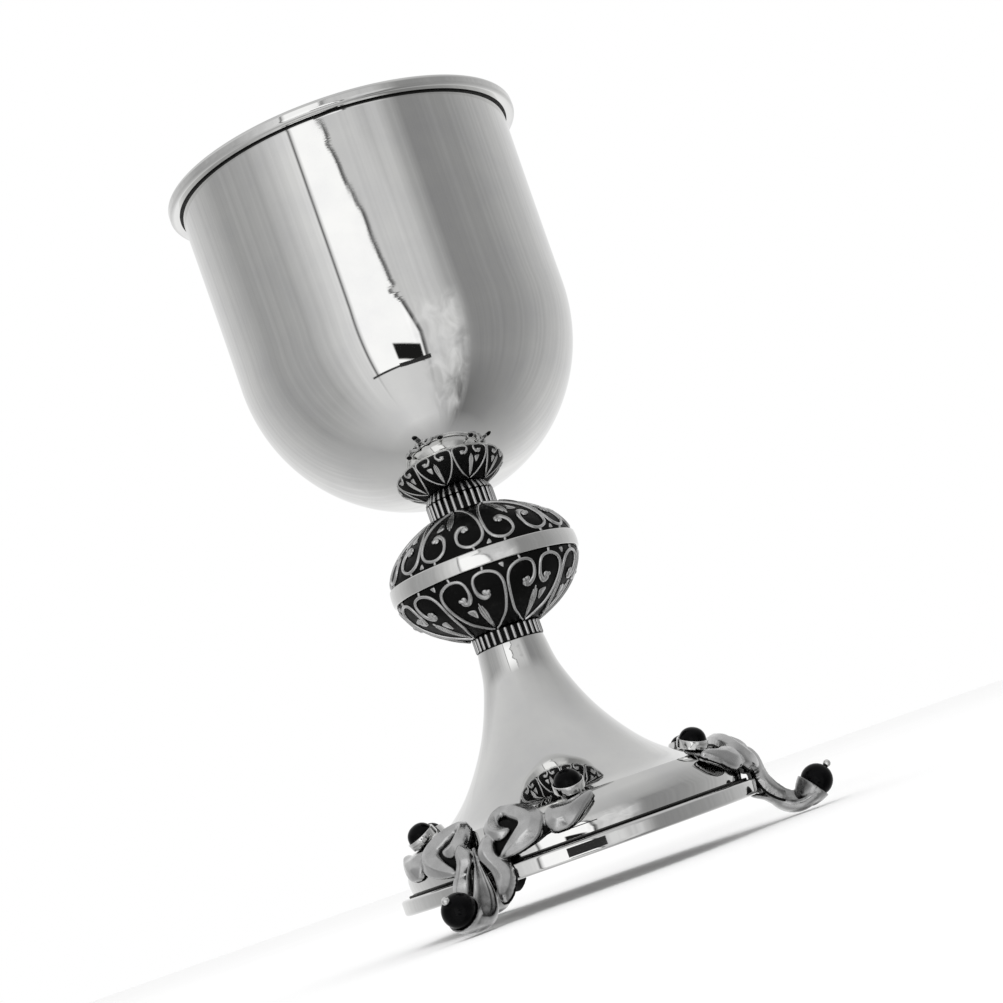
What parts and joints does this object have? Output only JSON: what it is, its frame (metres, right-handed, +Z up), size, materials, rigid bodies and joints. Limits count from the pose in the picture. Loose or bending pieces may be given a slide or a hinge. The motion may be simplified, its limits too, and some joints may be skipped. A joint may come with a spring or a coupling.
{
  "type": "kiddush cup",
  "caption": "Stemmed silver ceremonial wine cup: deep round bowl with a banded lip, scrollwork knop, trumpet base and cast leaf feet set with black stones.",
  "frame": {"origin": "on the surface the cup stands on, under the middle of the bounding box; the cup's own axis stands 6.9 mm from it towards -X, because one foot reaches out along +X", "axes": "+Z up along the cup's axis, +X along the foot numbered 1; the feet numbered 2 and 3 are turned 120 and 240 degrees about the cup's axis"},
  "size_m": [0.0864, 0.087, 0.152],
  "materials": {
    "polished_silver": "mirror-polished sterling silver with faint polishing lines",
    "oxidised_scrollwork": "bright scroll wires over a ground blackened with oxide",
    "cast_silver": "cast silver, satin on the leaf faces and dark in the recesses",
    "black_stone": "glossy opaque black onyx"
  },
  "bodies": {
    "root": {"bowl": "polished_silver", "rim_band": "polished_silver", "upper_collar": "oxidised_scrollwork", "knop_upper": "oxidised_scrollwork", "knop_band": "polished_silver", "knop_lower": "oxidised_scrollwork", "lower_collar": "oxidised_scrollwork", "stem": "polished_silver", "base_plate": "polished_silver", "foot_1": "cast_silver", "bezel_1_right": "polished_silver", "cabochon_1_right": "black_stone", "bezel_1_left": "polished_silver", "cabochon_1_left": "black_stone", "bead_1": "black_stone", "bead_pin_1": "polished_silver", "foot_2": "cast_silver", "bezel_2_right": "polished_silver", "cabochon_2_right": "black_stone", "bezel_2_left": "polished_silver", "cabochon_2_left": "black_stone", "bead_2": "black_stone", "bead_pin_2": "polished_silver", "foot_3": "cast_silver", "bezel_3_right": "polished_silver", "cabochon_3_right": "black_stone", "bezel_3_left": "polished_silver", "cabochon_3_left": "black_stone", "bead_3": "black_stone", "bead_pin_3": "polished_silver"}
  },
  "joints": []
}
